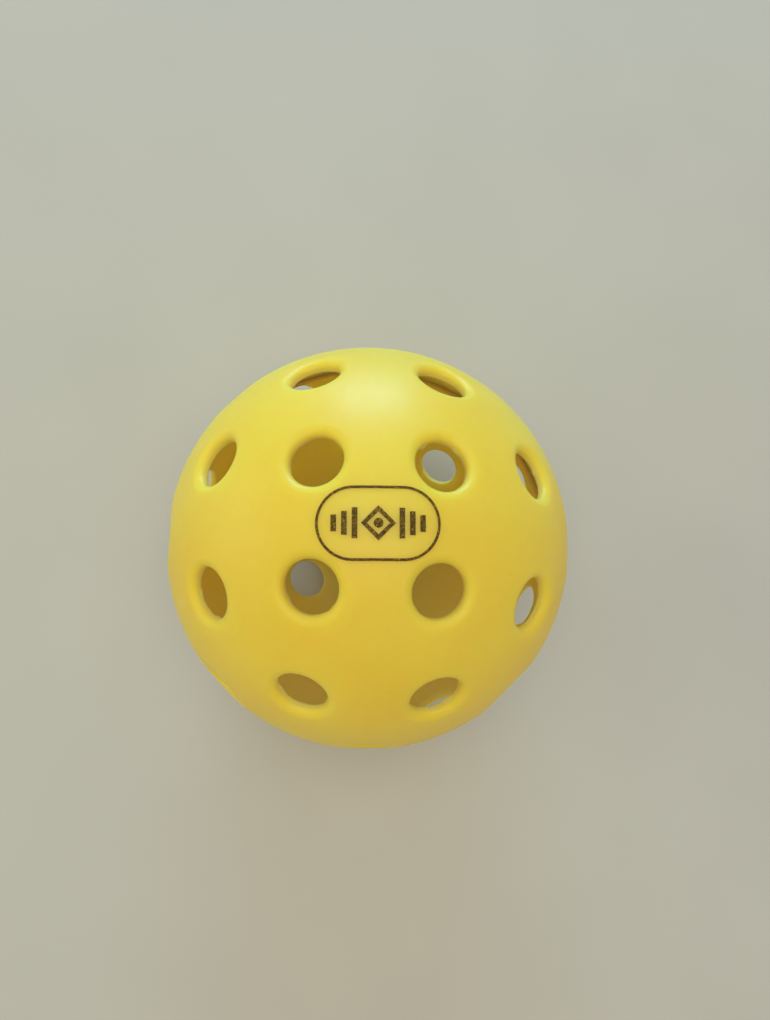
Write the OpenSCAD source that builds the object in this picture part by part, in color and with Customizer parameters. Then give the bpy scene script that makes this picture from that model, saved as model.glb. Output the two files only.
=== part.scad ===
// Outdoor pickleball ball: a hollow perforated ball of two moulded half shells,
// joined by a stepped weld joint at the equator and printed at one pole.
// The origin is the centre of the ball. +Z points out through the printed mark
// and +X runs along its length, so the XY plane is the plane of the weld.

/* [Ball] */
// Outside diameter of the ball
ball_d = 74; // [72.9:0.1:75.4]
// Thickness of the shell's wall
wall = 2; // [1.8:0.1:2.2]

/* [Holes] */
// Diameter of the straight part of every hole
hole_d = 8.4; // [7.6:0.1:8.6]
// Radius of the rounded outer lip of every hole
lip_r = 1; // [0.7:0.1:1.2]
// Angle from the pole to the ring of four holes
four_ring_angle = 21.6; // [21.3:0.1:23]
// Angle from the pole to the middle ring of eight holes
mid_ring_angle = 49.1; // [48:0.1:50.5]
// Angle from the pole to the ring of eight holes beside the equator
low_ring_angle = 77; // [74:0.1:77.5]
// Turn of the front half's holes against the printed mark
front_turn = -1.7; // [-3:0.1:3]
// Turn of the rear half's holes, as the half was welded on
rear_turn = -19.4; // [-22.5:0.1:22.5]
// Lean of the rear half's holes off the polar axis
rear_lean = 2.7; // [0:0.1:2.8]
// Direction of the line about which they lean, measured from +X
rear_lean_turn = 62; // [0:1:359]

/* [Weld joint] */
// Thickness of the front half's tongue
tongue_t = 1; // [0.8:0.1:1.2]
// Height of the tongue below the equator
tongue_h = 1.2; // [0.8:0.1:1.3]
// Depth of the fine groove left where the outer edges meet
seam_depth = 0.15; // [0.1:0.05:0.3]
// Radius of the bead of melt on the inside of the joint
bead_r = 0.45; // [0.3:0.05:0.5]

/* [Printed mark] */
// Length of the mark's frame
mark_w = 18; // [15:0.5:18]
// Height of the mark's frame
mark_h = 10.8; // [9:0.2:11]
// Width of the frame's line
line_w = 0.4; // [0.3:0.05:0.6]
// Thickness of the ink
ink_t = 0.05; // [0.03:0.01:0.1]
// Width and height of the diamond in the middle
diamond_w = 5; // [4:0.5:5.5]
// Number of upright bars on each side of the diamond
bar_count = 3; // [1:1:3]
// Width of each bar
bar_w = 0.8; // [0.5:0.1:0.9]
// Distance from one bar to the next
bar_pitch = 1.5; // [1.2:0.1:1.6]
// Height of the bar nearest the diamond
bar_h = 4.4; // [3:0.2:5]

/* [Hidden] */
ball_r = ball_d / 2;
inner_r = ball_r - wall;
hole_r = hole_d / 2;
// The lip stands this far above a tangent round, so it meets the ball in a clean edge
lip_rise = 0.02;
lip_z = sqrt((ball_r - lip_r) ^ 2 - (hole_r + lip_r) ^ 2) + lip_rise;
// Every cut runs this far past the surface it opens
over = 1;
// The bars get shorter by this much from one to the next
bar_step = 1;
// First bar's centre, measured from the middle of the mark
first_bar_x = diamond_w / 2 + 0.9;
// Line width of the diamond and radius of the dot inside it
diamond_line = 0.6;
dot_r = 0.7;
$fn = 96;

// Half section of the spherical wall, in the plane of revolution
module wall_section() {
    difference() {
        circle(ball_r);
        circle(inner_r);
    }
}

// Half section of the tongue's room, on the inside of the wall below the equator
module tongue_room() {
    translate([inner_r - over, -tongue_h]) square([tongue_t + over, tongue_h]);
}

// Half section of the groove that is cut from one edge of the seam
module seam_cut() {
    polygon([[ball_r - seam_depth, 0], [ball_r + over, 0], [ball_r + over, over + seam_depth]]);
}

// One hole, standing on the +Z axis: a straight bore that flares into the rounded lip
module hole_cutter() {
    rotate_extrude() {
        translate([0, inner_r - wall]) square([hole_r, ball_r + over - inner_r + wall]);
        difference() {
            translate([0, lip_z]) square([hole_r + lip_r, ball_r + over - lip_z]);
            translate([hole_r + lip_r, lip_z]) circle(lip_r);
        }
    }
}

// A ring of holes at one angle from the pole
module hole_ring(count, angle, turn) {
    for (k = [0 : count - 1])
        rotate([0, angle, turn + k * 360 / count]) hole_cutter();
}

// The three rings of one half, about the +Z pole
module half_holes(turn) {
    hole_ring(4, four_ring_angle, turn + 45);
    hole_ring(8, mid_ring_angle, turn + 22.5);
    hole_ring(8, low_ring_angle, turn);
}

// The mark's outline with round ends, drawn inwards by inset
module stadium(inset) {
    end_r = mark_h / 2 - inset;
    end_x = (mark_w - mark_h) / 2;
    square([2 * end_x, 2 * end_r], center = true);
    for (side = [-1, 1])
        translate([side * end_x, 0]) circle(end_r);
}

// A square standing on its corner
module diamond(width) {
    rotate(45) square(width / sqrt(2), center = true);
}

// A flat shape laid on the outside of the ball as a film of ink
module ink_film() {
    intersection() {
        difference() {
            sphere(ball_r + ink_t);
            sphere(ball_r);
        }
        translate([0, 0, ball_r / 2]) linear_extrude(ball_r) children();
    }
}

module front_half_shell() {
    color("gold") difference() {
        rotate_extrude() difference() {
            intersection() {
                wall_section();
                union() {
                    square(ball_r + over);
                    tongue_room();
                }
            }
            seam_cut();
        }
        half_holes(front_turn);
    }
}

module rear_half_shell() {
    color("khaki") difference() {
        rotate_extrude() difference() {
            intersection() {
                wall_section();
                translate([0, -ball_r - over]) square(ball_r + over);
            }
            tongue_room();
            mirror([0, 1]) seam_cut();
        }
        rotate(rear_lean, [cos(rear_lean_turn), sin(rear_lean_turn), 0])
            mirror([0, 0, 1]) half_holes(rear_turn);
    }
}

// The bead is small beside the wall that it follows, so the wall's circle is fine here
module weld_bead() {
    color("goldenrod") rotate_extrude() intersection() {
        translate([inner_r, -tongue_h]) circle(bead_r);
        circle(inner_r, $fn = 384);
    }
}

module mark_frame() {
    color("saddlebrown") ink_film() difference() {
        stadium(0);
        stadium(line_w);
    }
}

module mark_device() {
    color("saddlebrown") ink_film() {
        difference() {
            diamond(diamond_w);
            diamond(diamond_w - 2 * sqrt(2) * diamond_line);
        }
        circle(dot_r);
        for (side = [-1, 1], k = [0 : bar_count - 1])
            translate([side * (first_bar_x + k * bar_pitch), 0])
                square([bar_w, bar_h - k * bar_step], center = true);
    }
}

front_half_shell();
rear_half_shell();
weld_bead();
mark_frame();
mark_device();
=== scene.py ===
"""The looks of a perforated pickleball ball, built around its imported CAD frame.

The CAD frame has its origin at the ball's centre and +Z out through the printed mark.
Both half shells are finely meshed pieces that stand for the CAD nodes of the same names. The bead
of melt and the print stay as the CAD nodes, with materials of their own. Every length is in metres.
"""

import math

import bmesh
import bpy
import numpy as np
from mathutils import Matrix, Vector
from mathutils.geometry import delaunay_2d_cdt


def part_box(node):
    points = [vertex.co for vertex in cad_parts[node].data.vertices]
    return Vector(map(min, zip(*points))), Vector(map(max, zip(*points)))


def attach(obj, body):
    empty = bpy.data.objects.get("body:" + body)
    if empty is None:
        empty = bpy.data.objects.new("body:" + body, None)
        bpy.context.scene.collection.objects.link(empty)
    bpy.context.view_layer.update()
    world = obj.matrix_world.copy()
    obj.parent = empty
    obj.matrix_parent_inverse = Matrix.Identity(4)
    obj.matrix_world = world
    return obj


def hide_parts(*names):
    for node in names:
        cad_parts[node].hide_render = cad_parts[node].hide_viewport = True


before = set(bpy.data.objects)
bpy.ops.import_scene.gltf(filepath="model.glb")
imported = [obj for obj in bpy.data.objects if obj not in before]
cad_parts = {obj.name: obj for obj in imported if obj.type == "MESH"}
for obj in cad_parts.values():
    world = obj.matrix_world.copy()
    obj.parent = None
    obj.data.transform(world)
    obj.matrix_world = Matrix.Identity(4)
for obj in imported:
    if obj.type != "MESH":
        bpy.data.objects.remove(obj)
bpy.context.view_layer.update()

MM = 0.001
SEED = 40

# The ball, from the frame
BALL_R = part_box("front_half_shell")[1].z
TONGUE_H = -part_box("front_half_shell")[0].z
WALL = 2.0 * MM
INNER_R = BALL_R - WALL
TONGUE_T = 1.0 * MM
SEAM_DEPTH = 0.15 * MM

# The holes: the count, the angle from the pole and the first hole's turn of each ring. The rear
# half's rings are laid out about -Z, and then lean together about a line in the plane of the weld.
HOLE_R = 4.2 * MM
LIP_WIDTH = 1.4 * MM
LIP_DEPTH = 1.0 * MM
INNER_EDGE_R = 0.22 * MM
RINGS = ((4, 21.6, 45.0), (8, 49.1, 22.5), (8, 77.0, 0.0))
TURN = {"front": -1.7, "rear": -19.4}
LEAN = {"front": 0.0, "rear": 2.7}
LEAN_LINE_TURN = 62.0
SIDE = {"front": 1, "rear": -1}

# Mesh fineness
RIM_SEGMENTS = 96
EQUATOR_SEGMENTS = 360
EDGE_ROUND_STEPS = 20
LIP_POINTS = 13
INNER_EDGE_POINTS = 6
FILL_SPACING = 0.85 * MM
TRIANGLE_AREA_SHARE = 0.866
SMOOTHING_ROUNDS = 6
SHARP_ANGLE = 50

# Rings of points round each rim: distance out from the rim, in fill spacings, and how many points
COLLARS = ((0.45, 96), (1.1, 72), (1.95, 60))
CLEAR_OF_COLLARS = 2.7
CLEAR_OF_EDGE = 0.6


# ---------------------------------------------------------------- geometry helpers

def hole_axes(side):
    """Unit vectors along one half's holes, as rows."""
    axes = []
    for count, polar, turn in RINGS:
        for k in range(count):
            p, a = math.radians(polar), math.radians(TURN[side] + turn + k * 360 / count)
            axes.append((math.sin(p) * math.cos(a), math.sin(p) * math.sin(a), SIDE[side] * math.cos(p)))
    line = math.radians(LEAN_LINE_TURN)
    lean = Matrix.Rotation(math.radians(LEAN[side]), 3, Vector((math.cos(line), math.sin(line), 0)))
    return np.array(axes) @ np.array(lean).T


def across(axis):
    """Two unit vectors that make a right-handed set with axis."""
    u = np.cross(np.eye(3)[np.abs(axis).argmin()], axis)
    u /= np.linalg.norm(u)
    return u, np.cross(axis, u)


def turns(count, first=0.0):
    """Evenly spaced angles round a full circle."""
    return (np.arange(count) + first) * 2 * math.pi / count


def circle_about(axis, angles, radius, height):
    """Points of a circle about axis, height along it from the centre of the ball."""
    u, v = across(axis)
    radius, height = np.broadcast_to(radius, angles.shape), np.broadcast_to(height, angles.shape)
    return (np.outer(radius * np.cos(angles), u) + np.outer(radius * np.sin(angles), v)
            + np.outer(height, axis))


def edge_round(sphere_r, width, depth, count):
    """(radius, height) along the round between a sphere and a hole's wall, tangent to both.

    It is an arc of an ellipse, width across and depth along the hole's axis. depth is negative
    where the round stands on the inner sphere.
    """
    past = 0.0
    for _ in range(EDGE_ROUND_STEPS):
        end_r = HOLE_R + width * (1 + math.sin(past))
        end_height = math.sqrt(sphere_r ** 2 - end_r ** 2)
        past = math.copysign(math.atan(width / abs(depth) * end_r / end_height), depth)
    centre_height = end_height - depth * math.cos(past)
    a = np.linspace(math.pi / 2 + past, 0, count)
    return np.column_stack((HOLE_R + width * (1 - np.cos(a)), centre_height + depth * np.sin(a)))


def hole_section():
    """(radius, height) of the points from the end of the lip, through the hole, to the inside."""
    lip = edge_round(BALL_R, LIP_WIDTH, LIP_DEPTH, LIP_POINTS)
    inner = edge_round(INNER_R, INNER_EDGE_R, -INNER_EDGE_R, INNER_EDGE_POINTS)[::-1]
    land = np.linspace(lip[-1], inner[0], 4)[1:-1]
    return np.vstack((lip, land, inner))


def smooth_step(x):
    """0 below 0, 1 above 1 and a smooth rise between."""
    x = np.clip(x, 0, 1)
    return x * x * (3 - 2 * x)


def burr(angles, rng):
    """How far a hole's inner edge stands in from its circle, by angle: a few small nicks of flash."""
    depth = 0.02 * MM * np.cos(2 * angles + rng.uniform(0, 6.28))
    for _ in range(rng.integers(2, 5)):
        at, width = rng.uniform(0, 2 * math.pi), math.radians(rng.uniform(5, 14))
        away = np.abs((angles - at + math.pi) % (2 * math.pi) - math.pi)
        depth += rng.uniform(0.06, 0.3) * MM * np.exp(-((away / width) ** 4))
    return depth


def link(name, points, faces, materials, own_normals=None, sharp_over=None):
    """A smooth-shaded mesh object. own_normals gives true normals, or zeros to keep Blender's."""
    mesh = bpy.data.meshes.new(name)
    mesh.from_pydata(np.asarray(points, float).tolist(), [], faces)
    bm = bmesh.new()
    bm.from_mesh(mesh)
    bmesh.ops.recalc_face_normals(bm, faces=bm.faces)
    for face in bm.faces:
        face.smooth = True
    if sharp_over is not None:
        for edge in bm.edges:
            edge.smooth = len(edge.link_faces) == 2 and edge.calc_face_angle(0) < math.radians(sharp_over)
    bm.to_mesh(mesh)
    bm.free()
    if own_normals is not None:
        mesh.normals_split_custom_set_from_vertices(np.asarray(own_normals, float).tolist())
    for material in materials:
        mesh.materials.append(material)
    piece = bpy.data.objects.new(name, mesh)
    bpy.context.scene.collection.objects.link(piece)
    return piece


def stand_for(piece, cad_node):
    """Hide the CAD node that a piece replaces, and hang the piece on the root body."""
    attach(piece, "root")
    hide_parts(cad_node)


# ---------------------------------------------------------------- half shells

def fill_directions(side, axes, clear_angle, lowest):
    """Evenly spread unit vectors over one hemisphere, clear of its holes and above lowest."""
    count = int(4 * math.pi * BALL_R ** 2 / (FILL_SPACING ** 2 * TRIANGLE_AREA_SHARE))
    k = np.arange(count)
    z = 1 - (2 * k + 1) / count
    a = k * math.pi * (3 - math.sqrt(5))
    ring = np.sqrt(1 - z * z)
    directions = np.column_stack((ring * np.cos(a), ring * np.sin(a), z))
    away = directions @ axes.T < math.cos(clear_angle)
    return directions[away.all(1) & (SIDE[side] * z > lowest)]


def sheet(side, axes, rim, edge):
    """Triangulates one spherical sheet.

    rim holds each hole's rim directions and edge the directions at the equator. A plane map from
    the far pole keeps circles round, so a flat Delaunay mesh there is an even mesh on the ball.
    Returns the directions, rims first and then the edge, and the triangles.
    """
    rim_angle = math.acos(float(rim[0][0] @ axes[0]))
    spread, collars = FILL_SPACING / BALL_R, []
    for axis in axes:
        for step, count in COLLARS:
            angle = rim_angle + step * spread
            collars.append(circle_about(axis, turns(count, step), math.sin(angle), math.cos(angle)))
    collars = np.vstack(collars)
    lowest = SIDE[side] * edge[0, 2] + CLEAR_OF_EDGE * spread
    collars = collars[SIDE[side] * collars[:, 2] > lowest]
    loose = fill_directions(side, axes, rim_angle + CLEAR_OF_COLLARS * spread, lowest)
    points = np.vstack((*rim, edge, collars, loose))
    flat = points[:, :2] / (1 + SIDE[side] * points[:, 2])[:, None]
    triangles = delaunay_2d_cdt([Vector(p) for p in flat.tolist()], [], [], 0, 1e-9)[2]
    triangles = np.array([t for t in triangles if len(t) == 3])
    owner = np.full(len(points), -1)
    owner[:len(rim) * RIM_SEGMENTS] = np.repeat(np.arange(len(rim)), RIM_SEGMENTS)
    owners = owner[triangles]
    in_hole = (owners[:, 0] >= 0) & (owners == owners[:, :1]).all(1)
    triangles = triangles[~in_hole]
    first_loose = len(rim) * RIM_SEGMENTS + EQUATOR_SEGMENTS
    return relaxed(points, triangles, first_loose), triangles


def relaxed(points, triangles, first):
    """Moves each point, from number first on, to the middle of its neighbours, on the unit sphere."""
    pairs = np.vstack((triangles[:, [0, 1]], triangles[:, [1, 2]], triangles[:, [2, 0]]))
    pairs = np.vstack((pairs, pairs[:, ::-1]))
    degree = np.bincount(pairs[:, 0], minlength=len(points))[:, None]
    for _ in range(SMOOTHING_ROUNDS):
        total = np.zeros_like(points)
        np.add.at(total, pairs[:, 0], points[pairs[:, 1]])
        middle = total / np.maximum(degree, 1)
        points[first:] = middle[first:]
        points /= np.linalg.norm(points, axis=1)[:, None]
    return points


def loop_quads(loops):
    """Quads between neighbouring closed loops of vertex numbers."""
    return [(a[i], a[(i + 1) % len(a)], b[(i + 1) % len(a)], b[i])
            for a, b in zip(loops, loops[1:]) for i in range(len(a))]


def joint_section(side):
    """(radius, height) of the step at the equator, from the outer surface to the inner one."""
    groove = (math.sqrt(BALL_R ** 2 - SEAM_DEPTH ** 2), side * SEAM_DEPTH)
    step_r = INNER_R + TONGUE_T
    foot_r = math.sqrt(INNER_R ** 2 - TONGUE_H ** 2)
    return np.array([groove, (BALL_R - SEAM_DEPTH / 2, side * SEAM_DEPTH / 4), (BALL_R - SEAM_DEPTH, 0),
                     (step_r, 0), (step_r, -TONGUE_H), (foot_r, -TONGUE_H)])


def half_shell(side, material):
    """One half shell as a single closed mesh: outer sheet, holes, inner sheet and joint."""
    rng = np.random.default_rng(SEED + SIDE[side])
    axes = hole_axes(side)
    section, joint = hole_section(), joint_section(SIDE[side])
    angles, around = turns(RIM_SEGMENTS), turns(EQUATOR_SEGMENTS)
    points, normals, faces = [], [], []

    def add(block, block_normals=None):
        start = sum(len(p) for p in points)
        points.append(block)
        normals.append(np.zeros_like(block) if block_normals is None else block_normals)
        return list(range(start, start + len(block)))

    def add_sheet(radius, section_end, edge):
        """A sheet at one radius. Returns its rim loops and its edge loop."""
        rims = [circle_about(axis, angles, *section_end) for axis in axes]
        rims = [r / np.linalg.norm(r, axis=1)[:, None] for r in rims]
        ring = circle_about(np.array((0, 0, 1.0)), around, *edge)
        ring /= np.linalg.norm(ring, axis=1)[:, None]
        directions, triangles = sheet(side, axes, rims, ring)
        numbers = add(radius * directions, np.sign(radius - INNER_R - WALL / 2) * directions)
        faces.extend(tuple(numbers[i] for i in t) for t in triangles.tolist())
        loops = [numbers[i * RIM_SEGMENTS:(i + 1) * RIM_SEGMENTS] for i in range(len(axes))]
        start = len(axes) * RIM_SEGMENTS
        return loops, numbers[start:start + EQUATOR_SEGMENTS]

    outer_rims, outer_edge = add_sheet(BALL_R, section[0], joint[0])
    inner_rims, inner_edge = add_sheet(INNER_R, section[-1], joint[-1])
    height = section[1:-1, 1]
    reach = smooth_step((section[0, 1] - LIP_DEPTH - height) / (section[0, 1] - LIP_DEPTH - height.min()))
    for axis, outer, inner in zip(axes, outer_rims, inner_rims):
        flash = burr(angles, rng)
        loops = [outer]
        for (radius, along), share in zip(section[1:-1], reach):
            loops.append(add(circle_about(axis, angles, radius - share * flash, along)))
        faces.extend(loop_quads(loops + [inner]))
    loops = [outer_edge]
    for radius, along in joint[1:-1]:
        loops.append(add(circle_about(np.array((0, 0, 1.0)), around, radius, along)))
    faces.extend(loop_quads(loops + [inner_edge]))
    piece = link(side + "_half", np.vstack(points), faces, [material], np.vstack(normals), SHARP_ANGLE)
    stand_for(piece, side + "_half_shell")
    return piece


# ---------------------------------------------------------------- materials

def node(tree, kind, **values):
    """A shader node with its properties and its sockets' values set by name."""
    made = tree.nodes.new(kind)
    for name, value in values.items():
        if name in made.inputs:
            made.inputs[name].default_value = value
        else:
            setattr(made, name, value)
    return made


def noise(tree, coordinates, per_metre, detail, roughness=0.5):
    """A noise pattern in the ball's own frame, with features about 1/per_metre across."""
    made = node(tree, "ShaderNodeTexNoise", Scale=per_metre, Detail=detail, Roughness=roughness)
    tree.links.new(coordinates.outputs["Object"], made.inputs["Vector"])
    return made.outputs["Fac"]


def ramp(tree, source, low, high, to_low, to_high):
    """source mapped from low..high to to_low..to_high, and held at the ends."""
    made = tree.nodes.new("ShaderNodeMapRange")
    for name, value in zip(("From Min", "From Max", "To Min", "To Max"), (low, high, to_low, to_high)):
        made.inputs[name].default_value = value
    tree.links.new(source, made.inputs["Value"])
    return made.outputs["Result"]


def blend_colours(tree, factor, first, second):
    """Mixes two colours by a factor socket. A colour is a tuple or a socket."""
    made = node(tree, "ShaderNodeMix", data_type="RGBA")
    tree.links.new(factor, made.inputs["Factor"])
    for name, colour in (("A", first), ("B", second)):
        socket = next(s for s in made.inputs if s.name == name and s.type == "RGBA")
        if isinstance(colour, tuple):
            socket.default_value = colour
        else:
            tree.links.new(colour, socket)
    return next(s for s in made.outputs if s.type == "RGBA")


def bump(tree, height, distance, strength, under=None):
    """A bump of the given height in metres, over another one."""
    made = node(tree, "ShaderNodeBump", Distance=distance, Strength=strength)
    tree.links.new(height, made.inputs["Height"])
    if under is not None:
        tree.links.new(under, made.inputs["Normal"])
    return made.outputs["Normal"]


def new_material(name):
    """An empty node material with its Principled shader and coordinates."""
    material = bpy.data.materials.new(name)
    material.use_nodes = True
    tree = material.node_tree
    shader = tree.nodes["Principled BSDF"]
    coordinates = tree.nodes.new("ShaderNodeTexCoord")
    return material, tree, shader, coordinates


# The plastic's two mingled yellows, and a paler, bluer yellow on the inside of the wall. That yellow is
# painted light: it stands in for brighter, whiter light inside the ball
YELLOW = (0.985, 0.665, 0.082, 1)
DEEP_YELLOW = (0.96, 0.615, 0.066, 1)
INSIDE_PAINTED_LIGHT_YELLOW = (0.99, 0.715, 0.21, 1)


def yellow_plastic(name, translucency):
    """Satin polyethylene: warm yellow, translucent or not, with a fine moulded grain. It is painted paler
    towards the inside as painted light, standing in for brighter light inside the ball.
    """
    material, tree, shader, at = new_material(name)
    cloud = noise(tree, at, 55, 3)
    colour = blend_colours(tree, ramp(tree, cloud, 0.35, 0.65, 0, 1), YELLOW, DEEP_YELLOW)
    from_centre = node(tree, "ShaderNodeVectorMath", operation="LENGTH")
    tree.links.new(at.outputs["Object"], from_centre.inputs[0])
    # painted light: the colour turns paler and bluer towards the inner surface, standing in for brighter,
    # whiter light inside the ball
    inside = ramp(tree, from_centre.outputs["Value"], INNER_R + 0.1 * MM, BALL_R - 0.8 * MM, 1, 0)
    tree.links.new(blend_colours(tree, inside, colour, INSIDE_PAINTED_LIGHT_YELLOW), shader.inputs["Base Color"])
    rough = ramp(tree, noise(tree, at, 420, 4), 0.3, 0.7, 0.37, 0.47)
    tree.links.new(rough, shader.inputs["Roughness"])
    shader.inputs["Subsurface Weight"].default_value = translucency
    shader.inputs["Subsurface Scale"].default_value = 6.0 * MM
    shader.inputs["Subsurface Radius"].default_value = (0.95, 0.65, 0.25)
    shader.inputs["IOR"].default_value = 1.5
    shader.inputs["Specular IOR Level"].default_value = 0.35
    waves = bump(tree, noise(tree, at, 140, 2), 0.05 * MM, 0.5)
    grain = bump(tree, noise(tree, at, 3200, 3, 0.6), 0.012 * MM, 0.6, waves)
    tree.links.new(grain, shader.inputs["Normal"])
    return material


def brown_ink():
    """Pad-printed ink, dark brown and slightly starved, so that the plastic shows through in specks."""
    material, tree, shader, at = new_material("brown_ink")
    specks = ramp(tree, noise(tree, at, 4200, 4, 0.65), 0.52, 0.70, 0, 0.6)
    body = blend_colours(tree, noise(tree, at, 900, 3), (0.034, 0.019, 0.003, 1), (0.105, 0.064, 0.010, 1))
    tree.links.new(blend_colours(tree, specks, body, DEEP_YELLOW), shader.inputs["Base Color"])
    tree.links.new(ramp(tree, noise(tree, at, 1500, 3), 0.3, 0.7, 0.62, 0.8), shader.inputs["Roughness"])
    shader.inputs["Specular IOR Level"].default_value = 0.2
    grain = bump(tree, noise(tree, at, 3600, 3), 0.012 * MM, 0.7)
    tree.links.new(grain, shader.inputs["Normal"])
    return material


def pale_floor():
    """Plain pale grey paper, its tone varying faintly at random."""
    material, tree, shader, at = new_material("pale_floor")
    tone = blend_colours(tree, noise(tree, at, 30, 2), (0.50, 0.50, 0.49, 1), (0.54, 0.54, 0.53, 1))
    tree.links.new(tone, shader.inputs["Base Color"])
    shader.inputs["Roughness"].default_value = 0.9
    return material


# ---------------------------------------------------------------- stage

CAMERA_AT = Vector((-5.28, -12.42, 140.05)) * MM
CAMERA_AIM = Vector((3.07, 6.78, 1.12)) * MM
CAMERA_LENS = 25.94
FLOOR_REACH = 3.0


def looking(at, aim):
    """The matrix of a camera or light at a point that looks at another, with +Y up in its picture."""
    back = (at - aim).normalized()
    right = Vector((0, 1, 0)).cross(back).normalized()
    turn = Matrix((right, back.cross(right), back)).transposed()
    return Matrix.Translation(at) @ turn.to_4x4()


def camera():
    data = bpy.data.cameras.new("camera")
    data.lens = CAMERA_LENS
    data.sensor_width = 36
    data.clip_start = 0.01
    made = bpy.data.objects.new("camera", data)
    made.matrix_world = looking(CAMERA_AT, CAMERA_AIM)
    bpy.context.scene.collection.objects.link(made)
    bpy.context.scene.camera = made


def soft_light(name, at, size, power, colour):
    """A square area light aimed at the ball."""
    data = bpy.data.lights.new(name, "AREA")
    data.size, data.energy, data.color = size, power, colour
    made = bpy.data.objects.new(name, data)
    made.matrix_world = looking(Vector(at), Vector((0, 0, 0)))
    bpy.context.scene.collection.objects.link(made)


def stage():
    """A pale floor under the ball, soft lights above it and at two sides, and a pale surround."""
    material = pale_floor()
    corners = [(x * FLOOR_REACH, y * FLOOR_REACH, -BALL_R) for x, y in ((-1, -1), (1, -1), (1, 1), (-1, 1))]
    floor = link("floor", corners, [(0, 1, 2, 3)], [material])
    soft_light("overhead", (0.0, 0.02, 0.9), 0.7, 4.1, (1.0, 0.955, 0.70))
    soft_light("window", (0.0, 0.85, 0.16), 0.42, 5.2, (0.33, 0.74, 1.0))
    soft_light("side", (-0.85, 0.1, 0.3), 0.5, 1.4, (0.9, 0.97, 0.6))
    world = bpy.data.worlds.new("surround")
    world.use_nodes = True
    world.node_tree.nodes["Background"].inputs["Color"].default_value = (1.0, 0.87, 0.74, 1)
    world.node_tree.nodes["Background"].inputs["Strength"].default_value = 0.42
    bpy.context.scene.world = world
    bpy.context.scene.view_settings.view_transform = "Standard"


# ---------------------------------------------------------------- the scene

camera()
stage()
plastic = yellow_plastic("yellow_polyethylene", 1.0)
melt = yellow_plastic("yellow_melt", 0.0)
ink = brown_ink()
for side in ("front", "rear"):
    half_shell(side, plastic)
for name, material in (("weld_bead", melt), ("mark_frame", ink), ("mark_device", ink)):
    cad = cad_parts[name]
    cad.data.materials.clear()
    cad.data.materials.append(material)
